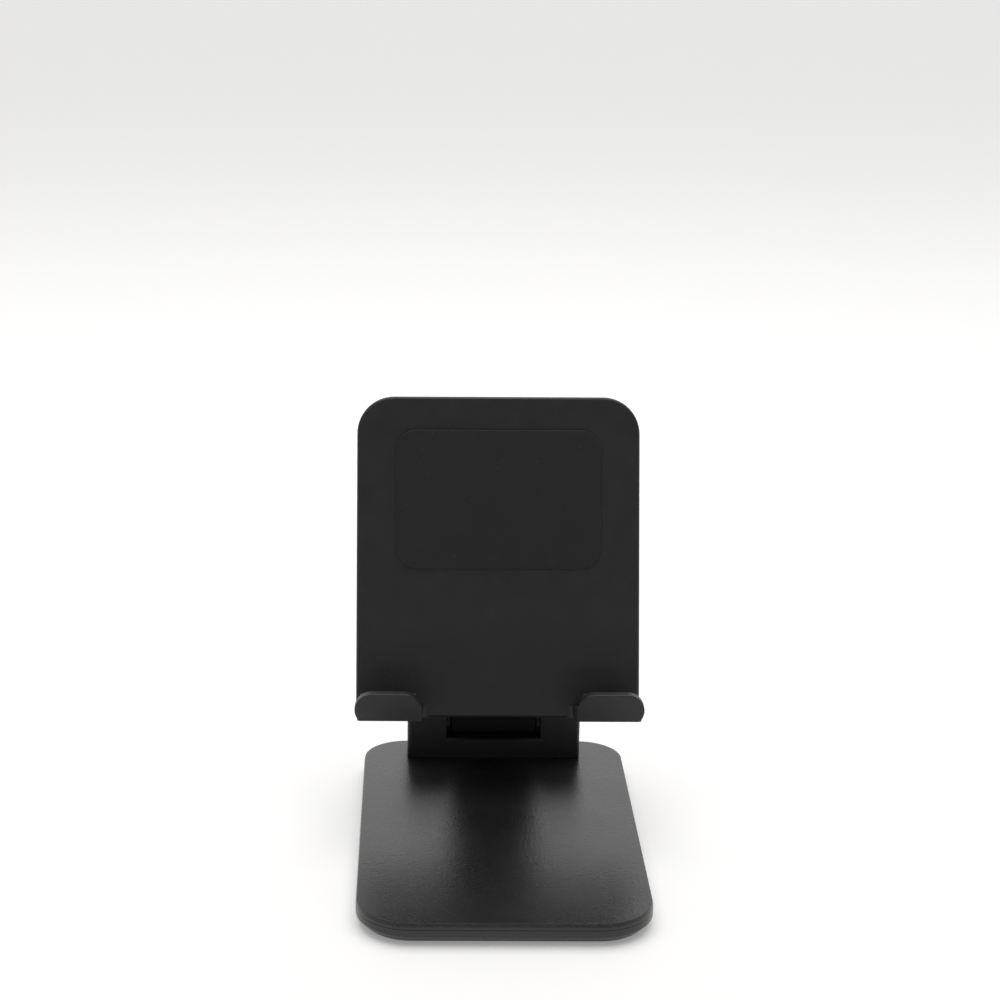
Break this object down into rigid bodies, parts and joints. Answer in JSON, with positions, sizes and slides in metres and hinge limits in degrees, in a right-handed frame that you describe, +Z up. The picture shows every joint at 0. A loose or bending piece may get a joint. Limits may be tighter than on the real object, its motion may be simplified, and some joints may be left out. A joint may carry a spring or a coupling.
{
  "type": "phone stand",
  "caption": "Folding desk stand for a phone: weighted base, short hinged arm and a tilting cradle with two hooks.",
  "frame": {"origin": "middle of the base's footprint, on the desk", "axes": "+X to the right seen from the front, +Y from the user to the rear hinge, +Z up"},
  "size_m": [0.0688, 0.104, 0.1009],
  "materials": {
    "base_plastic": "black ABS, fine spark-eroded texture, satin",
    "body_plastic": "black ABS, fine matt texture",
    "cap_plastic": "black ABS, fine matt texture",
    "silicone": "matt black silicone",
    "ballast_steel": "plain cold-rolled sheet",
    "screw_steel": "black zinc",
    "hinge_steel": "bright zinc",
    "washer_nylon": "black nylon"
  },
  "bodies": {
    "base": {"base_top_shell": "base_plastic", "base_bottom_shell": "base_plastic", "ballast_plate": "ballast_steel", "anti_slip_pad": "silicone", "base_screws": "screw_steel", "hinge_block": "body_plastic", "block_screws": "screw_steel", "base_hinge_pin": "hinge_steel", "base_hinge_nut": "hinge_steel", "base_hinge_springs": "hinge_steel", "base_hinge_washers": "washer_nylon", "block_cap_left": "cap_plastic", "block_cap_right": "cap_plastic"},
    "arm": {"arm": "body_plastic", "arm_rear_cover": "body_plastic", "cover_screws": "screw_steel"},
    "cradle": {"cradle_plate": "body_plastic", "back_pad": "silicone", "hook_pad_left": "silicone", "hook_pad_right": "silicone", "cradle_hinge_pin": "hinge_steel", "cradle_hinge_nut": "hinge_steel", "cradle_hinge_springs": "hinge_steel", "cradle_hinge_washers": "washer_nylon", "cradle_cap_left": "cap_plastic", "cradle_cap_right": "cap_plastic"}
  },
  "joints": [
    {"name": "arm_fold", "type": "hinge", "parent": "base", "child": "arm", "pos_m": [0, 0.0448, 0.0135], "axis": [1, 0, 0], "range_deg": [-15, 27]},
    {"name": "cradle_tilt", "type": "hinge", "parent": "arm", "child": "cradle", "pos_m": [0, 0.0315, 0.05701], "axis": [1, 0, 0], "range_deg": [-120, 12]}
  ]
}
